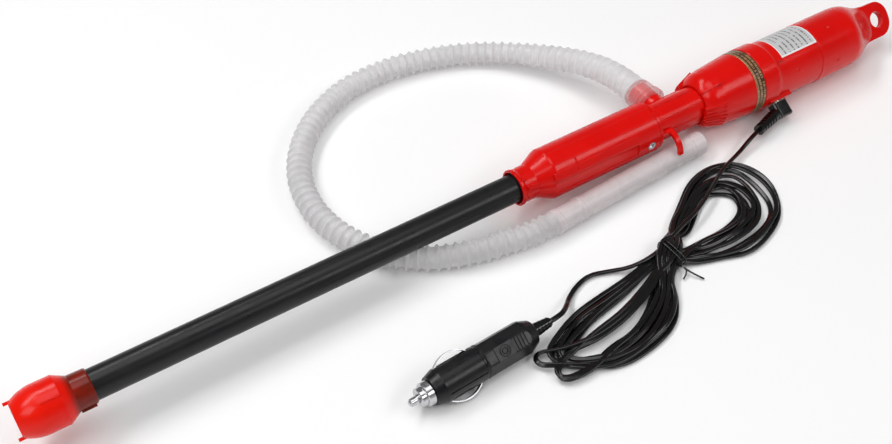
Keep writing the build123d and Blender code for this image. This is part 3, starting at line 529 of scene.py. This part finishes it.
def lobe(pairs, place, spread, above=0.0):
    """Control points of one turn in a lobe. Every second place lies in the upper layer.

    Nothing keeps the turns clear of each other, so strands run through one another where they crowd.
    """
    layer = place % 2
    result = []
    for k, (outer, inner) in enumerate(pairs):
        swell = math.sin(math.pi * (k + 0.5) / len(pairs))
        wander = WANDER * math.sin(WANDER_RATE * k + WANDER_START * place)
        share = lerp(TIGHT[place], spread[place], swell) + wander
        x = lerp(outer[0], inner[0], share) + rng.uniform(-PLACE_JITTER, PLACE_JITTER)
        y = lerp(outer[1], inner[1], share) + rng.uniform(-PLACE_JITTER, PLACE_JITTER)
        z = FLOOR_LAYER + LAYER * layer + above * max(0.0, 1 - k / DESCENT) + rng.uniform(0, HEIGHT_JITTER)
        result.append((x, y, z))
    return result


def through_tie(bundle, across, place):
    """Where one turn goes through the tie: five side by side, in two layers."""
    aside = ((place // 2) - 2) * SIDE_BY_SIDE
    raised = (place % 2) * LAYER
    return [(x + across[0] * aside, y + across[1] * aside, z + raised) for x, y, z in bundle]


def hank_turn(turn):
    """Control points of one turn: over through the tie, round the lower lobe, under, round the upper lobe."""
    upper, lower = UPPER_PLACES[turn], LOWER_PLACES[turn]
    points = through_tie(OVER, OVER_ACROSS, upper)
    if CROSSING[turn]:
        points += lobe(LOWER_LOBE[::-1], lower, TIGHT, above=CROSSING_RISE)
        points += through_tie(UNDER, UNDER_ACROSS, TURNS - 1 - lower)
    else:
        aside = (turn - TURNS // 2) * SLANT_APART
        points += [(x + SLANT_LEAN * aside, y + aside, SLANT_HEIGHT) for x, y in SLANT]
        points += [(x, y - SLANT_LEAN * aside, HAIRPIN_HEIGHT) for x, y in HAIRPINS[turn % 2]]
        points += lobe(LOWER_LOBE[REJOINS:], lower, TIGHT)
        points += BACK_TO_TIE
    points += lobe(UPPER_LOBE, upper, LOOSE)
    return points


cable_route = list(LEAD_FROM_PUMP)
for turn in range(TURNS):
    cable_route += hank_turn(turn)
cable_route += OUT_OF_TIE + LEAD_TO_PLUG
cable_line = evenly(smooth_line("lead_route", cable_route), STEP)

CORE_ANGLES = [math.radians(a) for a in (-125, -85, -45, 0, 45, 85, 125)]
TWIST_WAVES = ((0.35, 0.045, 0.0), (0.25, 0.0171, 1.3))
CABLE_SECTION = [(CORE_APART + CORE_R * math.cos(a), CORE_R * math.sin(a)) for a in CORE_ANGLES]
CABLE_SECTION += [(-x, -z) for x, z in CABLE_SECTION]


def cable_twist(i):
    """The lead's slow twist, in radians, as two waves that never keep step."""
    return sum(size * math.sin(i * rate + start) for size, rate, start in TWIST_WAVES)


lead = sweep("power_lead", cable_line, lambda i: CABLE_SECTION, CABLE, twist=cable_twist)
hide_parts("cable_lead_a", "cable_hank", "cable_lead_b")

# ---------------------------------------------------------------- twist tie
TIE_WIRE_R = 0.00055
WIRE_SIDES = 10
LOOP_STEPS = 48
SQUARENESS = 0.6                       # 1 would make the loops oval
LOOP_LEAN = 0.0030
TAIL_STEPS = 30
TAIL_BEND, TAIL_RISE, TAIL_LEAN = 0.0016, 0.0010, 0.3
tie_low, tie_high = (Vector(p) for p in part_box("cable_tie"))
tie_middle = (tie_low + tie_high) / 2
tie_half_wide = (tie_high.y - tie_low.y) / 2 - TIE_WIRE_R
tie_half_high = (tie_high.z - tie_low.z) / 2 - TIE_WIRE_R


def tie_loop(turns):
    """The wire's loops round the hank, a rounded box in outline, that start and end at its -Y side."""
    places = []
    for k in range(int(LOOP_STEPS * turns) + 1):
        a = math.pi + math.tau * k / LOOP_STEPS
        c, s = math.cos(a), math.sin(a)
        y = tie_half_wide * math.copysign(abs(c) ** SQUARENESS, c)
        z = tie_half_high * math.copysign(abs(s) ** SQUARENESS, s)
        lean = LOOP_LEAN * (k / LOOP_STEPS - turns / 2)
        places.append(tie_middle + Vector((lean, y, z)))
    return places


def tie_tail(start, end, side):
    """One of the two wire ends, bowed a little to its own side and upwards."""
    places = []
    for k in range(TAIL_STEPS + 1):
        t = k / TAIL_STEPS
        bow = math.sin(math.pi * t)
        bend = bow * TAIL_BEND * side
        places.append(start.lerp(end, t) + Vector((bend, -TAIL_LEAN * bend, TAIL_RISE * bow)))
    return places


wire_section = circle(TIE_WIRE_R, WIRE_SIDES)
tie_band = sweep("tie_band", tie_loop(2.0), lambda i: wire_section, CABLE)
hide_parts("cable_tie")
knot = Vector((tie_middle.x + 0.0010, tie_low.y - 0.0006, 0.0030))
tail_ends = (Vector((0.0505, -0.1002, 0.0009)), Vector((0.0612, -0.1068, 0.0009)))
for number, tail_end in enumerate(tail_ends):
    side = 1 - 2 * number
    tail = sweep(f"tie_tail_{number + 1}", tie_tail(knot, tail_end, side), lambda i: wire_section, CABLE)

# ---------------------------------------------------------------- floor and light
FLOOR_HALF = 6.0
FLOOR_GAP = 0.0003                     # keeps the floor clear of what rests on it
corners = [(x * FLOOR_HALF, y * FLOOR_HALF, 0) for x, y in ((-1, -1), (1, -1), (1, 1), (-1, 1))]
floor_mesh = bpy.data.meshes.new("floor")
floor_mesh.from_pydata(corners, [], [(0, 1, 2, 3)])
floor = bpy.data.objects.new("floor", floor_mesh)
scene.collection.objects.link(floor)
floor.location.z = -FLOOR_GAP
floor_material, _, floor_shader, _ = start_material("floor")
floor_shader.inputs["Base Color"].default_value = (0.93, 0.93, 0.93, 1)
floor_shader.inputs["Roughness"].default_value = 0.8
floor_mesh.materials.append(floor_material)

# The studio is pale near the horizon and dim above it.
SKY_LOW, SKY_HIGH = 0.05, 0.40
SKY_PALE, SKY_DIM = 0.60, 0.15
world = bpy.data.worlds.new("studio")
scene.world = world
world.use_nodes = True
sky = world.node_tree
towards = sky.nodes.new("ShaderNodeSeparateXYZ")
sky.links.new(sky.nodes.new("ShaderNodeTexCoord").outputs["Generated"], towards.inputs["Vector"])
paler = sky.nodes.new("ShaderNodeMapRange")
paler.inputs["From Min"].default_value = SKY_LOW
paler.inputs["From Max"].default_value = SKY_HIGH
paler.inputs["To Min"].default_value = SKY_PALE
paler.inputs["To Max"].default_value = SKY_DIM
sky.links.new(towards.outputs["Z"], paler.inputs["Value"])
sky.links.new(paler.outputs["Result"], sky.nodes["Background"].inputs["Strength"])
sky.nodes["Background"].inputs["Color"].default_value = (1, 1, 1, 1)
LIGHT_TARGET = Vector((0, 0, 0))


def soft_light(name, place, size, watts):
    """A soft box that faces the middle of the part."""
    light_data = bpy.data.lights.new(name, "AREA")
    light_data.shape = "RECTANGLE"
    light_data.size, light_data.size_y = size
    light_data.energy = watts
    light = bpy.data.objects.new(name, light_data)
    light.location = place
    light.rotation_euler = (LIGHT_TARGET - Vector(place)).to_track_quat("-Z", "Y").to_euler()
    scene.collection.objects.link(light)


soft_light("key", (-0.5, 0.7, 1.5), size=(1.6, 0.35), watts=14)
soft_light("fill", (0.8, -1.1, 1.3), size=(1.2, 0.5), watts=8)
soft_light("left", (-1.2, -0.6, 1.6), size=(0.9, 0.9), watts=10)
soft_light("top", (0.1, 0.0, 2.2), size=(1.2, 1.2), watts=11)
